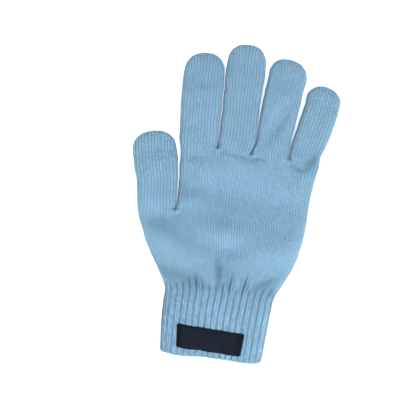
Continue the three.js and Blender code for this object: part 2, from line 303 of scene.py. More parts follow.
WORLD_LIGHT = 0.45
Lamp = namedtuple("Lamp", "name place size power")
LAMPS = (
    Lamp("softbox", (0.55, -0.85, 1.1), 0.9, 23.5),
    Lamp("fill", (-0.9, 0.5, 1.3), 1.2, 4.0),
)
CAMERA_LENS, CAMERA_SENSOR = 185, 36
CAMERA_PLACE = (-20.2 * MM, -2.05 * MM, 1.5)
CAMERA_TURN = 7  # degrees

# Furrows of the upper side, long along an axis turned from +X in degrees. A rise is negative.
FOLDS = [Fold(*row) for row in (
    # the slack rolls of the hand, from the cuff up
    (28, 79, 23, 9.0, 6, -2.2),
    (40, 87.5, 24, 10.5, 0, -3.0),
    (1, 79, 12, 5.5, 0, 2.6),
    (-1, 92, 19, 8.0, 0, -2.8),
    (14, 117.5, 46, 12.5, -2, 3.6),
    (-12, 125, 28, 9.0, 0, 1.3),
    (-36, 78, 26, 8.5, -27, -2.9),
    (-20, 77, 11, 7.0, 0, -1.5),
    (-51, 97.5, 17, 8.5, 0, 3.2),
    (-27, 113, 9, 6.0, 0, -1.9),
    (-46, 70, 17, 8.0, 0, 2.8),
    # pleats that run up out of the ribs
    (-2.4, 64, 10, 2.4, 97, 4.0),
    (1.5, 65.5, 11, 5.0, 97, 2.8),
    (-17, 57, 7, 2.0, 115, 1.6),
    (-29, 60, 15, 6.5, -4, 3.7),
    (-41, 63, 8, 5.0, 0, 1.3),
    (31, 58, 11, 3.5, 30, 2.4),
    # the creases at the roots of the fingers, and a dent in the ring finger
    (1, 148.3, 11, 1.6, -7, 1.3),
    (16, 147.2, 7, 1.6, 4, 1.1),
    (3, 188, 9, 5.0, 60, 0.9),
    (45, 144.7, 6, 1.6, -22, 1.5),
    (54, 150.8, 8.5, 3.4, 59, 2.5),
    (28, 175, 17, 5.0, 62, 2.4),
    (-30, 143, 10, 3.0, 0, 1.0),
    (-30, 197, 12, 4.0, 0, 1.0),
    (-56, 120, 9, 7.0, 70, 1.2),
)]
NARROW = 4
CREASES = [fold for fold in FOLDS if fold.depth > 0 and fold.across < NARROW]
CREASE_DARK, CREASE_LIMIT = 3.5, 0.7  # the depth without light, and the most that is lost


def hermite(at, places, values):
    """Values between the rows of a table, on a smooth curve through them."""
    at = np.clip(at, places[0], places[-1])
    slopes = np.gradient(values, places)
    i = np.clip(np.searchsorted(places, at) - 1, 0, len(places) - 2)
    span = places[i + 1] - places[i]
    t = (at - places[i]) / span
    rise = (2 * t**3 - 3 * t**2 + 1) * values[i] + (3 * t**2 - 2 * t**3) * values[i + 1]
    lean = (t**3 - 2 * t**2 + t) * slopes[i] + (t**3 - t**2) * slopes[i + 1]
    return rise + lean * span


def row_at(rows, y):
    """The left edge, right edge and height of a table at y."""
    table = np.array(rows, float)
    return [float(hermite(y, table[:, 0], table[:, k])) for k in (1, 2, 3)]


def ease(t):
    """From 0 to 1 with an easy start and end."""
    t = np.clip(t, 0, 1)
    return t * t * (3 - 2 * t)


def half_section(left, right, height, ground, power, shares, upper):
    """x and z at shares of the way from the left fold to the right fold of one tube."""
    s = -np.cos(np.linspace(0, math.pi, SECTION_STEPS + 1))
    x = left + (right - left) * (1 + s) / 2
    swell = np.sqrt(np.clip(1 - np.abs(s) ** power, 0, 1))
    edge = ground + FOLD_SHARE * (height - ground)
    if upper:
        z = edge + (height - edge) * swell
    else:
        z = edge - (edge - ground) * np.minimum(1, PRESSED * swell)
    walk = np.concatenate(([0], np.cumsum(np.hypot(np.diff(x), np.diff(z)))))
    return np.interp(shares * walk[-1], walk, x), np.interp(shares * walk[-1], walk, z)


def section(left, right, height, ground, columns, powers):
    """Both sides of one tube: arrays of x and z for the back and for the palm side."""
    shares = np.linspace(0, 1, columns + 1)
    top = half_section(left, right, height, ground, powers[0], shares, True)
    base = half_section(left, right, height, ground, powers[1], shares, False)
    return np.array([top, base])


def joined(sections):
    """Sections side by side as one row, sharing the column where two of them meet."""
    parts = [sections[0]] + [each[:, :, 1:] for each in sections[1:]]
    return np.concatenate(parts, axis=2)


def refit(row, left, right):
    """A row moved and widened to run from left to right."""
    out = row.copy()
    start, end = row[0, 0, 0], row[0, 0, -1]
    out[:, 0] = left + (row[:, 0] - start) * (right - left) / (end - start)
    return out


def within_side(distance, side):
    """1 in the first columns from an edge, and then down to 0."""
    full, fade = side
    return 1 - ease((distance - full) / fade)


def root_share(below, columns):
    """How far each column of a row takes on the section of the roots that it is below.

    The partings show only near their crotches, and the outer sides change slowly."""
    parting = sum(
        share * np.exp(-((below / length) ** power)) for share, length, power in PARTING_FADES
    )
    column = np.arange(columns + 1)
    at_side = within_side(np.minimum(column, columns - column), OUTER_SIDE)
    return parting + (1 - ease(below / SIDE_EASE) - parting) * at_side


def rest_height(y):
    """The height of the underside: the cuff rests on the surface, the hand on its dots."""
    return DOT_HEIGHT * ease((y - CUFF_LENGTH) / REST_EASE)


def hand_section(left, right, height, above):
    """Both sides of the hand this far above the thumb's crotch."""
    columns = COLUMNS - THUMB.columns
    rounded = section(left, right, height, DOT_HEIGHT, columns, HAND_POWERS)
    square = section(left, right, height, DOT_HEIGHT, columns, CROTCH_POWERS)
    near_thumb = within_side(np.arange(columns + 1), CROTCH_SIDE)
    return rounded + (square - rounded) * near_thumb * (1 - ease(above / SIDE_EASE))


def digit_root(digit):
    left, right, height = digit.rows[0][1:]
    return section(left, right, height, DOT_HEIGHT, digit.columns, ROOT_POWERS)


def root_y(digit):
    """The y of each column of a digit's root row."""
    x = digit_root(digit)[0, 0]
    share = (x - x[0]) / (x[-1] - x[0])
    return digit.root_left + (digit.root_right - digit.root_left) * share


# A stretch of the glove's skin: its points as [side, row, column, xyz], with the back first,
# and the column and the row of stitches at each of them.
Block = namedtuple("Block", "points wales courses")


def stitched(rows, first_column, density, narrowing=None, extra=None):
    """A block from its rows of points, with the knit counted across and along it."""
    points = np.stack(rows, axis=1)
    columns = first_column + np.arange(points.shape[2], dtype=float)
    across = np.broadcast_to(columns, points.shape[1:3]) * density
    if narrowing is not None:
        middle = across[:, :1] + (across[:, -1:] - across[:, :1]) / 2
        across = middle + (across - middle) * np.array(narrowing)[:, None]
    wales = np.stack([across, -across])
    along = points[..., 1].copy()
    if extra is not None:
        along += np.array(extra)[None, :, None]
    return Block(points, wales, along / COURSE)


def lower_block():
    """From the cuff's edge to the row where the thumb parts from the hand."""
    steps = int(round(THUMB_CROTCH[1] / ROW_STEP))
    droop = np.zeros(COLUMNS + 1)
    droop[:THUMB.columns + 1] = THUMB_CROTCH[1] - root_y(THUMB)
    parted = joined([digit_root(THUMB), hand_section(*UPPER_ROWS[0][1:], 0)])
    rows = []
    for k in range(steps + 1):
        share = k / steps
        y = THUMB_CROTCH[1] * share - droop * share**2
        left = row_at(LOWER_ROWS, y[0])[0]
        _, right, height = row_at(LOWER_ROWS, y[-1])
        whole = section(left, right, height, rest_height(y[-1]), COLUMNS, HAND_POWERS)
        part = root_share(THUMB_CROTCH[1] * (1 - share), COLUMNS)
        row = whole + part * (refit(parted, left, right) - whole)
        if k == steps:
            row = parted
        rows.append(with_y(row, y))
    return stitched(rows, 0, HAND_WALES)


def upper_block():
    """From the thumb's crotch to the roots of the four fingers."""
    columns = COLUMNS - THUMB.columns
    roots = joined([digit_root(finger) for finger in FINGERS])
    end_y = np.concatenate([root_y(FINGERS[0])] + [root_y(f)[1:] for f in FINGERS[1:]])
    reach = float(np.mean(end_y)) - THUMB_CROTCH[1]
    steps = int(round(reach / ROW_STEP))
    rows = []
    for k in range(steps + 1):
        share = k / steps
        y = THUMB_CROTCH[1] + (end_y - THUMB_CROTCH[1]) * share
        left = row_at(UPPER_ROWS, y[0])[0]
        _, right, height = row_at(UPPER_ROWS, y[-1])
        whole = hand_section(left, right, height, y[-1] - THUMB_CROTCH[1])
        part = root_share(reach * (1 - share), columns) if k else 0
        row = whole + part * (refit(roots, left, right) - whole)
        if k == steps:
            row = roots
        rows.append(with_y(row, y))
    return stitched(rows, THUMB.columns, HAND_WALES)


def with_y(row, y):
    """A row of x and z on both sides as points at y."""
    return np.stack([row[:, 0], np.broadcast_to(y, row[:, 0].shape), row[:, 1]], axis=-1)


def digit_block(digit, first_column):
    """One digit from its root row to the point of its tip."""
    start, last = digit.rows[0].y, digit.rows[-1].y
    steps = int(round((last - start) / ROW_STEP))
    left, right, _ = row_at(digit.rows, start)
    root_slope = (digit.root_right - digit.root_left) / (right - left)
    slope_end = -math.tan(math.radians(digit.lean))
    rows, narrowing, extra = [], [], []
    for k in range(steps + TIP_ROWS + 1):
        y = start + (last - start) * min(1, k / steps)
        left, right, height = row_at(digit.rows, y)
        middle, half = (left + right) / 2, (right - left) / 2
        slope = root_slope + (slope_end - root_slope) * ease((y - start) / TURN_EASE)
        angle = max(0, k - steps) / TIP_ROWS * math.pi / 2
        climb = math.sin(angle) ** TIP_POWER
        shrink = max(THINNEST, math.cos(angle)) ** TIP_POWER
        low = max(0, math.cos(angle)) ** TIP_CLOSING
        middle += (digit.tip_x - middle) * climb
        ends = middle - half * shrink, middle + half * shrink
        rounding = ease((y - start) / ROOT_EASE)
        powers = [a + (b - a) * rounding for a, b in zip(ROOT_POWERS, TUBE_POWERS)]
        height -= TIP_DROOP * ease((y - last + DROOP_START) / DROOP_EASE)
        row = section(*ends, height, DOT_HEIGHT, digit.columns, powers)
        edge = DOT_HEIGHT + FOLD_SHARE * (height - DOT_HEIGHT)
        row[:, 1] = edge + (row[:, 1] - edge) * low
        row_y = y + (digit.tip_y - last) * climb + slope * (row[:, 0] - middle)
        rows.append(with_y(row, row_y))
        narrowing.append(shrink)
        extra.append((digit.tip_y - last) * (angle - climb))
    return stitched(rows, first_column, DIGIT_WALES, narrowing, extra)


def digit_blocks():
    """The thumb and the four fingers, each from its own column of the hand on."""
    blocks, first_column = [], 0
    for digit in (THUMB, *FINGERS):
        blocks.append(digit_block(digit, first_column))
        first_column += digit.columns
    return blocks


def fold_depth(x, y, folds=FOLDS):
    """How deep the furrows of a table lie at x and y, all together."""
    depth = np.zeros_like(x)
    for fold in folds:
        turn = math.radians(fold.turn)
        dx, dy = x - fold.x, y - fold.y
        along = (dx * math.cos(turn) + dy * math.sin(turn)) / fold.along
        across = (dy * math.cos(turn) - dx * math.sin(turn)) / fold.across
        depth += fold.depth * np.exp(-(along**2) - across**2)
    return depth


def shown(distance, kind):
    """How much of what lies round a crotch shows at a distance from it."""
    return np.exp(-((distance - kind.reach) / kind.width) ** 2)


def pucker(x, y):
    """How far the knit rises near the crotches, where the stitches were cast on."""
    rise = np.zeros_like(x)
    for crotch_x, crotch_y in CROTCHES:
        dx, dy = x - crotch_x, y - crotch_y
        reach = np.hypot(dx, dy)
        turn = np.arctan2(dy, dx)
        below = ease((CROTCH_EASE / 2 - dy) / CROTCH_EASE)
        creases = CAST_ON_CREASES.height * np.cos(CREASES_ROUND * turn + CREASE_SHIFT * crotch_x)
        rise += creases * shown(reach, CAST_ON_CREASES)
        rise += below * CAST_ON_KNOT.height * shown(reach, CAST_ON_KNOT)
        hollow = below * CAST_ON_HOLLOW.height * shown(reach, CAST_ON_HOLLOW)
        rise -= hollow * (0.6 + 0.4 * np.cos(turn))  # deepest on the little finger's side
    return rise


def noise_over(points, waves):
    """Soft noise over points, up and down by about the height of the waves."""
    flat = (points * np.array(waves.squeeze)).reshape(-1, 3) / waves.size
    values = [noise.noise(Vector((p[0], p[1] + waves.start, p[2]))) for p in flat]
    return waves.height * np.array(values).reshape(points.shape[:-1])


def slackened(block):
    """A block of the hand with its folds and the small unevenness of slack knit."""
    points = block.points.copy()
    x, y = points[..., 0], points[..., 1]
    rise = np.clip((points[..., 2] - SIDE_HEIGHT) / (FULL_HEIGHT - SIDE_HEIGHT), 0, 1)
    away = ease((y - CUFF_LENGTH) / SLACK_EASE)
    swell = -fold_depth(x, y) + pucker(x, y) + noise_over(points, LUMPS)
    points[..., 2] += rise * away * (swell + noise_over(points, RIPPLES))
    sway = noise_over(points, EDGE_SWAY) + noise_over(points, EDGE_WOBBLE)
    points[..., 0] += sway * away
    points[..., 1] += noise_over(points, ROW_WOBBLE) * away
    return Block(points, block.wales, block.courses)


def crease_shade(block):
    """How much light the narrow creases of the back lose, as a share."""
    x, y, z = (block.points[..., k] for k in range(3))
    on_back = ease((z - SIDE_HEIGHT) / BACK_EASE)
    return on_back * np.clip(fold_depth(x, y, CREASES) / CREASE_DARK, 0, CREASE_LIMIT)


def rib_sink(columns):
    """How far the knit sinks between the ribs, as a share of its depth."""
    columns = columns - RIB_PHASE
    wave = 0.5 + 0.5 * np.cos(2 * math.pi * columns / COLUMNS_PER_RIB)
    from_crown = columns % COLUMNS_PER_RIB - COLUMNS_PER_RIB / 2
    return wave**RIB_SHARPNESS + CROWN_GROOVE * np.exp(-((from_crown / CROWN_WIDTH) ** 2))


def closed_ring(points):
    """The back and the palm side of some rows as closed rings, [row, place round it, xyz]."""
    return np.concatenate([points[0], points[1][:, -2::-1]], axis=1)


def open_ring(ring):
    """Closed rings as back and palm side again."""
    half = COLUMNS + 1
    return np.stack([ring[:, :half], ring[:, :half - 2:-1]])


def ring_out(ring):
    """The outward direction round each ring, across the glove."""
    inner = ring[:, :-1]
    run = np.roll(inner, -1, axis=1) - np.roll(inner, 1, axis=1)
    out = np.stack([-run[..., 2], np.zeros_like(run[..., 0]), run[..., 0]], axis=-1)
    out /= np.linalg.norm(out, axis=-1, keepdims=True)
    return np.concatenate([out, out[:, :1]], axis=1)


def ribbing(ring):
    """How deep each point of the rings sinks between the ribs, in millimetres.

    Each furrow runs on above the cuff as a pleat, some of them far and deep."""
    columns = np.arange(ring.shape[1], dtype=float)
    furrow = np.round((columns - RIB_PHASE) / COLUMNS_PER_RIB).astype(int) % len(PLEATS)
    reach, gain = np.array(PLEATS, float)[furrow].T
    above = ring[..., 1] - CUFF_LENGTH
    fade = 1 - ease((above / reach - PLEAT_HOLD) / (1 - PLEAT_HOLD))
    deeper = 1 + (gain - 1) * ease((above + PLEAT_START) / PLEAT_EASE)
    return RIB_DEPTH * rib_sink(columns) * fade * deeper


def ribbed(block):
    """The lower block with its ribs, which run out above the cuff at uneven heights."""
    ring = closed_ring(block.points)
    sink = ribbing(ring)
    out = ring_out(ring)
    y = ring[..., 1]
    shaped = ring - out * sink[..., None]
    wave = np.sin(2 * math.pi * y / SWAY_LENGTH + SWAY_SHIFT * ring[..., 0])
    in_middle = ease(y / SWAY_SET_IN) * (1 - ease((y - SWAY_END) / SWAY_FADE))
    on_back = ease((ring[..., 2] - SWAY_ABOVE) / 3)
    shaped[..., 0] += RIB_SWAY * wave * (in_middle * on_back)
    return shaped, out, sink


def grid_faces(rows, columns, offset, flipped):
    """The quads of a grid of points, wound to face out."""
    r, c = np.meshgrid(np.arange(rows - 1), np.arange(columns - 1), indexing="ij")
    a = (offset + r * columns + c).ravel()
    quads = np.stack([a, a + 1, a + 1 + columns, a + columns], axis=1)
    return quads[:, ::-1] if flipped else quads


def to_frame(points):
    """Glove millimetres to frame metres."""
    return (points + np.array([GLOVE_X, GLOVE_Y, 0.0])) * MM


Patch = namedtuple("Patch", "points wales courses shade flipped")


def patches_of(block, shade):
    """The back and the palm side of a block as two patches of one mesh."""
    return [Patch(*side) for side in zip(*block, shade, (False, True))]


def knit_mesh(name, patches):
    """One object from patches of skin, joined wherever their edges meet."""
    parts, offset = [], 0
    for patch in patches:
        rows, columns = patch.points.shape[:2]
        stitches = np.stack([patch.wales.ravel(), patch.courses.ravel()], axis=1)
        faces = grid_faces(rows, columns, offset, patch.flipped)
        parts.append((patch.points.reshape(-1, 3), stitches, patch.shade.ravel(), faces))
        offset += rows * columns
    points, stitches, shades, faces = (np.concatenate(part) for part in zip(*parts))
    mesh = bpy.data.meshes.new(name)
    mesh.from_pydata(to_frame(points).tolist(), [], faces.tolist())
    layer = mesh.uv_layers.new(name=STITCH_MAP)
    layer.data.foreach_set("uv", stitches[faces.ravel()].ravel())
    # The painted shade of the furrows and creases, one value for each point.
    hollow = mesh.attributes.new(SHADE_MAP, "FLOAT", "POINT")
    hollow.data.foreach_set("value", shades)
    work = bmesh.new()
    work.from_mesh(mesh)
    bmesh.ops.remove_doubles(work, verts=work.verts, dist=WELD * MM)
    bmesh.ops.dissolve_degenerate(work, edges=work.edges, dist=WELD * MM)
    work.to_mesh(mesh)
    work.free()
    return placed(name, mesh)


def new_object(name, data):
    made = bpy.data.objects.new(name, data)
    bpy.context.scene.collection.objects.link(made)
    return made


def placed(name, mesh):
    """A smooth-shaded object of a mesh, riding on the glove's one body."""
    mesh.shade_smooth()
    mesh.set_sharp_from_angle(angle=math.radians(60))
    piece = new_object(name, mesh)
    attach(piece, "root")
    return piece


def hang(points):
    """Lets the cuff's edge droop, with its corners up and the ribs ahead of the furrows."""
    near_lip = 1 - ease(points[..., 1] / LIP_EASE)
    places, drops = np.array(LIP_DROP, float).T
    drop = hermite(points[..., 0], places, drops)
    corner = CORNER_RISE * np.exp(-((CORNER_AT - np.abs(points[..., 0])) / CORNER_WIDTH))
    scallop = LIP_SCALLOP * np.clip(1 - rib_sink(np.arange(points.shape[1])), 0, 1)
    points[..., 1] -= near_lip * (drop - corner + scallop)


def make_cuff(ring, shaped, out, sink):
    """The ribbed tube, from its upper end down the outside, round the lip and up inside."""
    inside_depth = CUFF_WALL + INSIDE_SHARE * sink
    inner = ring - out * inside_depth[..., None]
    wall = inside_depth[1] - sink[1]
    y = ring[..., 1]
    no_shade = np.zeros_like(sink[1])
    # Each row of the tube has its points, how far along the knit it lies, and its shade.
    rows = [(shaped[k], y[k], sink[k] / RIB_DEPTH) for k in range(CUFF_ROWS, 0, -1)]
    for step in range(1, LIP_STEPS):
        turn = math.pi * step / LIP_STEPS
        depth = sink[1] + wall * (1 - math.cos(turn)) / 2
        row = ring[1] - out[1] * depth[:, None]
        row[:, 1] -= wall / 2 * math.sin(turn)
        shade = sink[1] / RIB_DEPTH * (1 - step / LIP_STEPS)
        rows.append((row, y[1] - CUFF_WALL / 2 * turn, shade))
    under = y[1] - CUFF_WALL / 2 * math.pi
    for k in range(1, CUFF_ROWS + 1):
        rows.append((inner[k], under - (y[k] - y[1]), no_shade))
    rows.append((shaped[CUFF_ROWS], rows[-1][1] - CUFF_WALL, no_shade))
    points, along, shade = (np.stack(part) for part in zip(*rows))
    hang(points)
    rib, column = np.divmod(np.arange(points.shape[1]) - RIB_PHASE, COLUMNS_PER_RIB)
    wales = np.broadcast_to(3 * rib + np.array(RIB_WALES)[column], points.shape[:2])
    return knit_mesh("ribbed_cuff", [Patch(points, wales, along / COURSE, shade, True)])


def make_hand(lower, blocks, shaped, out, sink):
    """The plain knit of the hand: back, palm side, thumb and fingers in one skin."""
    first = CUFF_ROWS - len(UNDERLAP)  # the knit starts a little below the cuff's skin
    tucked = shaped.copy()
    for k, depth in enumerate(UNDERLAP):
        tucked[first + k] -= out[first + k] * depth
    points = open_ring(tucked)[:, first:]
    shade = open_ring(sink / RIB_DEPTH)[:, first:]
    start = Block(points, lower.wales[:, first:], lower.courses[:, first:])
    patches = patches_of(slackened(start), np.maximum(shade, crease_shade(start)))
    for block in blocks:
        patches += patches_of(slackened(block), crease_shade(block))
    hand = knit_mesh("knitted_hand", patches)
    shell = hand.modifiers.new("wall", "SOLIDIFY")
    shell.thickness = HAND_WALL * MM
    shell.offset = -1
    return hand


def label_point(a, b):
    """The place on the label at shares a along it and b up it."""
    to_end = max(0, 1 - min(a, 1 - a) * LABEL_SIZE[0] / LABEL_CORNER)
    to_side = max(0, 1 - min(b, 1 - b) * LABEL_SIZE[1] / LABEL_CORNER)
    trim = CORNER_TRIM * to_end * to_side * LABEL_CORNER
    a += trim / LABEL_SIZE[0] * (1 if a < 0.5 else -1)
    b += trim / LABEL_SIZE[1] * (1 if b < 0.5 else -1)
    low = LABEL_CORNERS[0] + (LABEL_CORNERS[1] - LABEL_CORNERS[0]) * a
    high = LABEL_CORNERS[3] + (LABEL_CORNERS[2] - LABEL_CORNERS[3]) * a
    place = low + (high - low) * b
    place[1] -= SAG * math.exp(-(((a - SAG_AT) / SAG_WIDTH) ** 2)) * (1 - b)
    place[1] += EDGE_WAVE * math.sin(a * WAVE_TURN) * abs(b - 0.5)
    return place


def label_height(edge, side):
    """How high the label's face is this far from its ends and from its long edges."""
    rim = min(edge, side)
    round_off = 1 - math.sqrt(max(0.0, 1 - (1 - min(1, rim / ROUNDED_EDGE)) ** 2))
    fold = END_RISE * (1 - ease((edge - END_FOLD) / END_EASE))
    tuck = SEAM_TUCK * math.exp(-(((rim - SEAM_LINE) / SEAM_WIDTH) ** 2))
    puff = PUFF * ease(edge / PUFF_ALONG) * ease(side / PUFF_ACROSS)
    return LABEL_THICK + fold - tuck + puff - EDGE_LOSS * LABEL_THICK * round_off


def make_label(ring, sink):
    """The woven label, with its ends folded under, bent over the ribs that it lies on."""
    across, up = LABEL_GRID
    top, base, dim = [], [], []
    for j in range(up + 1):
        for i in range(across + 1):
            x, y = label_point(i / across, j / up)
            furrow = cuff_sink(ring, sink, x, y) / RIB_DEPTH
            edge = min(i, across - i) / across * LABEL_SIZE[0]
            side = min(j, up - j) / up * LABEL_SIZE[1]
            rest = cuff_top(ring, x, y) + REST_GAP - REST_SINK * furrow
            fray = 0
            if min(edge, side) == 0:
                fray = FRAY * noise.noise(Vector((x * FRAY_TURNS, y * FRAY_TURNS, 5)))
            top.append((x + fray, y + fray, rest + label_height(edge, side)))
            base.append((x + fray, y + fray, rest))
            dim.append(1 - ease((edge - END_SHADE) / SHADE_EASE))
    label = sheet_solid("woven_label", np.array(top), np.array(base), across + 1, up + 1)
    ends = label.data.attributes.new(SHADE_MAP, "FLOAT", "POINT")
    ends.data.foreach_set("value", np.array(dim + dim, dtype=np.float32))
    return label


def nearest_row(ring, y):
    return int(np.argmin(np.abs(ring[:CUFF_ROWS, COLUMNS // 2, 1] - y)))


def cuff_top(ring, x, y):
    """The height of the ribs' crests under a point of the cuff."""
    row = ring[nearest_row(ring, y), :COLUMNS + 1]
    return float(np.interp(x, row[:, 0], row[:, 2]))


def cuff_sink(ring, sink, x, y):
    """How deep the cuff's skin lies below the crests there."""
    k = nearest_row(ring, y)
    return float(np.interp(x, ring[k, :COLUMNS + 1, 0], sink[k, :COLUMNS + 1]))


def sheet_solid(name, top, base, columns, rows):
    """A thin closed solid from the grids of its upper and its lower face."""
    count = columns * rows
    faces = grid_faces(rows, columns, 0, False).tolist()
    faces += grid_faces(rows, columns, count, True).tolist()
    rim = list(range(columns))
    rim += [j * columns + columns - 1 for j in range(1, rows)]
    rim += [(rows - 1) * columns + i for i in range(columns - 2, -1, -1)]
    rim += [j * columns for j in range(rows - 2, 0, -1)]
    for here, there in zip(rim, rim[1:] + rim[:1]):
        faces.append([here, here + count, there + count, there])
    mesh = bpy.data.meshes.new(name)
    mesh.from_pydata(to_frame(np.concatenate([top, base])).tolist(), [], faces)
    return placed(name, mesh)


def make_stitches(ring):
    """The sewing round the label: short threads with a gap between each two."""
    middle = sum(LABEL_CORNERS) / 4
    inset = [c + (middle - c) / np.abs(middle - c) * SEAM_INSET for c in LABEL_CORNERS]
    points, faces = [], []
    for start, end in zip(inset, inset[1:] + inset[:1]):
        length = float(np.linalg.norm(end - start))
        count = int(length / STITCH_PITCH)
        along = (end - start) / length
        for k in range(count):
            place = start + along * (k + 0.5) * length / count
            add_stitch(points, faces, place, along, ring)
    mesh = bpy.data.meshes.new("label_stitches")
    mesh.from_pydata(to_frame(np.array(points)).tolist(), [], faces)
    return placed("label_stitches", mesh)


def add_stitch(points, faces, place, along, ring):
    """One thread of a seam: a bowed spindle whose ends dive into the cloth."""
    side = np.array([-along[1], along[0]])
    start = len(points)
    for i in range(STITCH_RINGS):
        share = i / (STITCH_RINGS - 1) * 2 - 1
        radius = THREAD / 2 * math.sqrt(1 - STITCH_TAPER * share**2)
        x, y = place + along * share * STITCH_LENGTH / 2
        seam = cuff_top(ring, x, y) + LABEL_THICK - SEAM_PULL
        z = seam + STITCH_RISE - STITCH_DIVE * share**4
        for j in range(STITCH_SIDES):
            turn = 2 * math.pi * j / STITCH_SIDES
            offset = side * math.cos(turn) * radius
            points.append((x + offset[0], y + offset[1], z + math.sin(turn) * radius))
    add_tube(faces, start, STITCH_RINGS, STITCH_SIDES)


def add_tube(faces, start, rings, sides):
    """The faces of rings of points that lie one after the other, closed at both ends."""
    for i in range(rings - 1):
        for j in range(sides):
            a, b = start + i * sides + j, start + i * sides + (j + 1) % sides
            faces.append((a, b, b + sides, a + sides))
    faces.append(tuple(range(start + sides - 1, start - 1, -1)))
    faces.append(tuple(range(start + (rings - 1) * sides, start + rings * sides)))


def outline(block):
    """The left and the right edge of a block, from its root to its far end."""
    return block.points[0, :, 0, :2], block.points[0, :, -1, :2]


def gap_to(path, x, y):
    """The distance from a point to a polyline."""
    a, b = path[:-1], path[1:]
    run = b - a
    t = ((np.array([x, y]) - a) * run).sum(axis=1) / np.maximum((run**2).sum(axis=1), 1e-9)
    nearest = a + run * np.clip(t, 0, 1)[:, None]
    return float(np.min(np.hypot(nearest[:, 0] - x, nearest[:, 1] - y)))


def inside(polygon, x, y):
    """Whether a point is in a polygon."""
    px, py = polygon[:, 0], polygon[:, 1]
    qx, qy = np.roll(px, -1), np.roll(py, -1)
    crosses = (py > y) != (qy > y)
    with np.errstate(divide="ignore", invalid="ignore"):
        at = px + (y - py) / (qy - py) * (qx - px)
    return bool(np.count_nonzero(crosses & (x < at)) % 2)


def dotted(x, y, regions):
    """Whether the grip pattern has a dot at a place."""
    if y < DOTS_START + DOTS_CURVE * ((x - DOTS_MIDDLE) / DOTS_SIDE) ** 2:
        return False
    for left, right, margin in regions:
        polygon = np.concatenate([left, right[::-1]])
        if inside(polygon, x, y) and min(gap_to(left, x, y), gap_to(right, x, y)) > margin:
            return True
    return False


def make_dots(hand, regions):
    """The raised rubber dots printed on the palm side, in regions of the skin."""
    graph = bpy.context.evaluated_depsgraph_get()
    tree = BVHTree.FromObject(hand, graph)
    points, faces = [], []
    for j in range(DOT_ROWS):
        y = j * DOT_PITCH * DOT_ROW_SHARE
        for i in range(-DOT_COLUMNS, DOT_COLUMNS):
            x = (i + 0.5 * (j % 2)) * DOT_PITCH
            if not dotted(x, y, regions):
                continue
            below = Vector(to_frame(np.array([x, y, BELOW_GLOVE])).tolist())
            hit, normal, _, _ = tree.ray_cast(below, Vector((0, 0, 1)))
            if hit is None or normal.z > FACING_DOWN:
                continue
            add_dot(points, faces, hit / MM, normal)
    mesh = bpy.data.meshes.new("grip_dots")
    mesh.from_pydata((np.array(points) * MM).tolist(), [], faces)
    return placed("grip_dots", mesh)


def add_dot(points, faces, base, normal):
    """One low dome of rubber on the knit, with its rim pressed into the yarn."""
    turn = normal.to_track_quat("Z", "Y")
    start = len(points)
    for radius, height in DOT_PROFILE:
        for k in range(DOT_SIDES):
            angle = 2 * math.pi * k / DOT_SIDES
            local = Vector((radius * math.cos(angle), radius * math.sin(angle), height))
            points.append(tuple(base + turn @ local))
    add_tube(faces, start, len(DOT_PROFILE), DOT_SIDES)


class Shader:
    """A material's node tree, with short ways to add and join its nodes."""

    def __init__(self, name):
        self.material = bpy.data.materials.new(name)
        self.material.use_nodes = True
        self.tree = self.material.node_tree
        self.surface = self.tree.nodes["Principled BSDF"]

    def node(self, kind, inputs=(), **settings):
        made = self.tree.nodes.new("ShaderNode" + kind)
        for key, value in settings.items():
            setattr(made, key, value)
        for key, value in dict(inputs).items():
            self.feed(made.inputs[key], value)
        return made

    def feed(self, socket, value):
        """Links a socket into an input, or sets the input to a value."""
        if isinstance(value, bpy.types.NodeSocket):
            self.tree.links.new(value, socket)
        else:
            socket.default_value = value

    def math(self, operation, a, b=0.0, c=0.0):
        made = self.node("Math", operation=operation)
        for socket, value in zip(made.inputs, (a, b, c)):
            self.feed(socket, value)
        return made.outputs[0]

    def times(self, a, b):
        return self.math("MULTIPLY", a, b)

    def mix(self, factor, a, b, **settings):
        """Two colours mixed. The node has its inputs' names twice, so numbers are used."""
        made = self.node("Mix", data_type="RGBA", **settings)
        for number, value in ((0, factor), (6, a), (7, b)):
            self.feed(made.inputs[number], value)
        return made.outputs[2]

    def scaled(self, colour, factor):
        """A colour times a number that varies over the surface."""
        grey = self.node("CombineColor", {"Red": factor, "Green": factor, "Blue": factor})
        return self.mix(1.0, colour, grey.outputs[0], blend_type="MULTIPLY")

    def ramp(self, value, low, high):
        """A value from 0 to 1 spread from low to high."""
        made = self.node("MapRange", {"Value": value, "To Min": low, "To Max": high})
        return made.outputs[0]

    def place(self):
        return self.node("TexCoord").outputs["Object"]

    def grain(self, size, detail=2.0):
        """Noise from 0 to 1 with spots of about a size in millimetres."""
        inputs = {"Vector": self.place(), "Scale": 1 / (size * MM), "Detail": detail}
        return self.node("TexNoise", inputs).outputs[0]

    def bump(self, height, depth):
        """Relief in the surface's normal, with its depth in millimetres."""
        inputs = {"Height": height, "Distance": depth * MM, "Strength": 1.0}
        made = self.node("Bump", inputs)
        self.feed(self.surface.inputs["Normal"], made.outputs[0])

    def finish(self, **inputs):
        """Feeds the surface with sockets and constants and gives the finished material."""
        for name, value in inputs.items():
            self.feed(self.surface.inputs[name.replace("_", " ")], value)
        return self.material


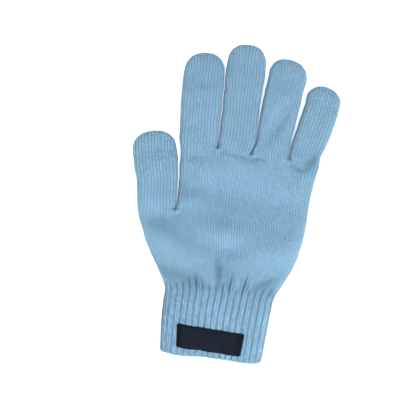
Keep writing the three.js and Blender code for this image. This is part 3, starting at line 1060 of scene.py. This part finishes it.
def stitch_height(shader, past_cuff):
    """The knit's relief of slanting legs in columns, also painted into the colour as shade, and a
    random number for each stitch.
    """
    stitches = shader.node("UVMap", uv_map=STITCH_MAP).outputs[0]
    parts = shader.node("SeparateXYZ", {"Vector": stitches}).outputs
    wale = shader.math("MULTIPLY_ADD", shader.grain(9, 0), WANDER[0], parts[0])
    course = shader.math("MULTIPLY_ADD", shader.grain(7, 0), WANDER[1], parts[1])
    within = shader.math("SUBTRACT", shader.math("FRACT", wale), STITCH_MIDDLE)
    left_leg = shader.times(within, -1 / STITCH_MIDDLE)
    right_leg = shader.times(within, 1 / (1 - STITCH_MIDDLE))
    leg = shader.math("MAXIMUM", left_leg, right_leg)
    slant = shader.math("ADD", leg, course)
    step = shader.math("FRACT", slant)
    rest = shader.math("SUBTRACT", 4.0, shader.times(step, 4.0))
    loop = shader.math("POWER", shader.times(step, rest), LOOP_POWER)
    loop = shader.math("MULTIPLY_ADD", loop, 1 - LOOP_DARK, LOOP_DARK)
    angle = shader.math("MULTIPLY_ADD", leg, LEG_ARC[1] * math.pi, LEG_ARC[0] * math.pi)
    column = shader.math("MAXIMUM", shader.math("SINE", angle), 0.0)
    parting = shader.ramp(past_cuff, RIB_KNIT.parting, PLAIN_KNIT.parting)
    between = shader.times(shader.math("SUBTRACT", 1.0, column), parting)
    height = shader.times(shader.math("SUBTRACT", 1.0, between), loop)
    cell = shader.node("CombineXYZ", {
        "X": shader.math("FLOOR", wale),
        "Y": shader.math("FLOOR", slant),
    })
    tension = shader.node("TexWhiteNoise", {"Vector": cell.outputs[0]}).outputs[0]
    return height, tension


def knit_material(name):
    """Soft acrylic knit: its stitches, painted shade between them and in the furrows and creases,
    and uneven yarn.
    """
    shader = Shader(name)
    along = shader.node("SeparateXYZ", {"Vector": shader.place()}).outputs[1]
    past_cuff = shader.node("MapRange", {
        "Value": along,
        "From Min": (GLOVE_Y + BLEND[0]) * MM,
        "From Max": (GLOVE_Y + BLEND[1]) * MM,
    }, interpolation_type="SMOOTHSTEP").outputs[0]
    # The cuff's colour is the hand's yarn with painted light on its ribs.
    colour = shader.mix(past_cuff, LIT_RIB_COLOUR, KNIT_COLOUR)
    height, tension = stitch_height(shader, past_cuff)
    # Painted shade in the furrows of the ribs and pleats, and in the narrow creases.
    hollow = shader.node("Attribute", attribute_name=SHADE_MAP).outputs["Fac"]
    # Painted light and shade of the stitches: dark in the gaps between them, bright on their loops.
    bright = shader.ramp(past_cuff, RIB_KNIT.bright - PAINTED_STITCH_SHADE, PLAIN_KNIT.bright - PAINTED_STITCH_SHADE)
    lit = shader.math("MULTIPLY_ADD", height, bright, PAINTED_STITCH_SHADE)
    sunk = shader.math("MULTIPLY_ADD", hollow, PAINTED_FURROW_SHADE - 1, 1.0)
    patchy = shader.ramp(shader.grain(22, 1), 0.95, 1.05)
    fibres = shader.ramp(shader.grain(0.7, 3), 0.86, 1.14)
    uneven = shader.ramp(past_cuff, RIB_KNIT.uneven, PLAIN_KNIT.uneven)
    least = shader.math("SUBTRACT", 1.0, uneven)
    uneven = shader.ramp(tension, least, shader.math("ADD", 1.0, uneven))
    fluff = shader.ramp(past_cuff, 0.8, 0.2)
    speckle = shader.math("SUBTRACT", shader.grain(1.6, 1), 0.5)
    speckle = shader.math("MULTIPLY_ADD", speckle, fluff, 1.0)
    yarn = shader.times(shader.times(fibres, uneven), patchy)
    yarn = shader.times(yarn, speckle)
    shade = shader.times(shader.times(lit, sunk), yarn)
    fuzz = shader.math("MULTIPLY_ADD", shader.grain(0.5, 3), 0.25, height)
    shader.bump(fuzz, 0.24)
    return shader.finish(
        Base_Color=shader.scaled(colour, shade),
        Roughness=shader.ramp(shader.grain(1.5), 0.86, 0.98),
        Sheen_Weight=0.25, Sheen_Roughness=0.55, Sheen_Tint=(0.75, 0.88, 1.0, 1.0),
        Specular_IOR_Level=0.18,
    )


def label_material():
    """Dark satin weave: fine floating threads across, with a faint rib along."""
    shader = Shader("woven_label")
    parts = shader.node("SeparateXYZ", {"Vector": shader.place()})
    turn = 2 * math.pi / (LABEL_THREAD * MM)
    weft = shader.math("SINE", shader.times(parts.outputs[1], turn))
    warp = shader.math("SINE", shader.times(parts.outputs[0], turn * 0.8))
    weave = shader.math("MULTIPLY_ADD", shader.times(weft, warp), 0.5, 0.5)
    slub = shader.ramp(shader.grain(1.2, 3), 0.7, 1.3)
    label_tone = shader.times(slub, shader.ramp(shader.grain(9, 2), 0.7, 1.3))
    doubled = shader.node("Attribute", attribute_name=SHADE_MAP).outputs["Fac"]
    # The label is darker towards its folded ends.
    label_tone = shader.times(label_tone, shader.ramp(doubled, 1.15, 0.62))
    shade = shader.times(shader.ramp(weave, 0.75, 1.25), label_tone)
    shader.bump(weave, 0.06)
    return shader.finish(
        Base_Color=shader.scaled(LABEL_COLOUR, shade),
        Roughness=shader.ramp(weave, 0.5, 0.72), Specular_IOR_Level=0.1,
    )


def thread_material():
    """Twisted sewing thread."""
    shader = Shader("sewing_thread")
    inputs = {"Vector": shader.place(), "Scale": 1 / (0.45 * MM), "Distortion": 1.5}
    twist = shader.node("TexWave", inputs, bands_direction="DIAGONAL").outputs[1]
    shader.bump(twist, 0.05)
    return shader.finish(
        Base_Color=shader.scaled(THREAD_COLOUR, shader.ramp(twist, 0.6, 1.2)),
        Roughness=shader.ramp(twist, 0.45, 0.65), Specular_IOR_Level=0.12,
    )


def dot_material():
    """Glossy black rubber with a slightly uneven skin."""
    shader = Shader("grip_rubber")
    spots = shader.grain(0.7, 2)
    shader.bump(spots, 0.04)
    return shader.finish(
        Base_Color=shader.scaled(DOT_COLOUR, shader.ramp(spots, 0.8, 1.2)),
        Roughness=shader.ramp(shader.grain(3.0), 0.3, 0.5), Specular_IOR_Level=0.5,
    )


def finish_with(piece, material):
    piece.data.materials.clear()
    piece.data.materials.append(material)


def make_floor():
    """The plain pale floor that the glove lies on."""
    corners = [(x * FLOOR_HALF, y * FLOOR_HALF, 0) for x, y in ((-1, -1), (1, -1), (1, 1), (-1, 1))]
    mesh = bpy.data.meshes.new("floor")
    mesh.from_pydata(corners, [], [(0, 1, 2, 3)])
    floor = new_object("floor", mesh)
    floor.location.z = -FLOOR_DROP
    shader = Shader("floor_paper")
    tone = shader.ramp(shader.grain(60, 2), 0.99, 1.0)
    mesh.materials.append(shader.finish(
        Base_Color=shader.scaled(FLOOR_COLOUR, tone), Roughness=0.9, Specular_IOR_Level=0.1,
        Emission_Color=(1.0, 1.0, 1.0, 1.0), Emission_Strength=FLOOR_GLOW,
    ))


def add_light(lamp):
    """A soft lamp that is aimed at the middle of the glove."""
    data = bpy.data.lights.new(lamp.name, "AREA")
    data.size = lamp.size
    data.energy = lamp.power
    light = new_object(lamp.name, data)
    light.location = lamp.place
    light.rotation_euler = (-Vector(lamp.place)).to_track_quat("-Z", "Y").to_euler()


def set_the_stage():
    """Floor, soft light and the camera straight above, turned as in the photograph."""
    scene = bpy.context.scene
    make_floor()
    world = bpy.data.worlds.new("studio")
    world.use_nodes = True
    background = world.node_tree.nodes["Background"].inputs
    background["Color"].default_value = (1.0, 1.0, 1.0, 1.0)
    background["Strength"].default_value = WORLD_LIGHT
    scene.world = world
    for lamp in LAMPS:
        add_light(lamp)
    data = bpy.data.cameras.new("camera")
    data.lens = CAMERA_LENS
    data.sensor_width = CAMERA_SENSOR
    camera = new_object("camera", data)
    camera.location = CAMERA_PLACE
    camera.rotation_euler = (0, 0, math.radians(CAMERA_TURN))
    scene.camera = camera
    scene.view_settings.view_transform = "Standard"


def make_glove():
    lower = lower_block()
    upper = upper_block()
    digits = digit_blocks()
    ring = closed_ring(lower.points)
    shaped, out, sink = ribbed(lower)
    cuff = make_cuff(ring, shaped, out, sink)
    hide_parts("cuff")
    finish_with(cuff, knit_material("rib_knit"))

    hand = make_hand(lower, [upper] + digits, shaped, out, sink)
    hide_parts("palm", "thumb", "index_finger", "middle_finger", "ring_finger", "little_finger")
    finish_with(hand, knit_material("plain_knit"))

    label = make_label(ring, sink)
    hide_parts("label")
    finish_with(label, label_material())

    stitches = make_stitches(ring)
    finish_with(stitches, thread_material())

    regions = [(*outline(lower), HAND_MARGIN)]
    regions += [(*outline(block), DIGIT_MARGIN) for block in [upper] + digits]
    dots = make_dots(hand, regions)
    finish_with(dots, dot_material())


make_glove()
set_the_stage()
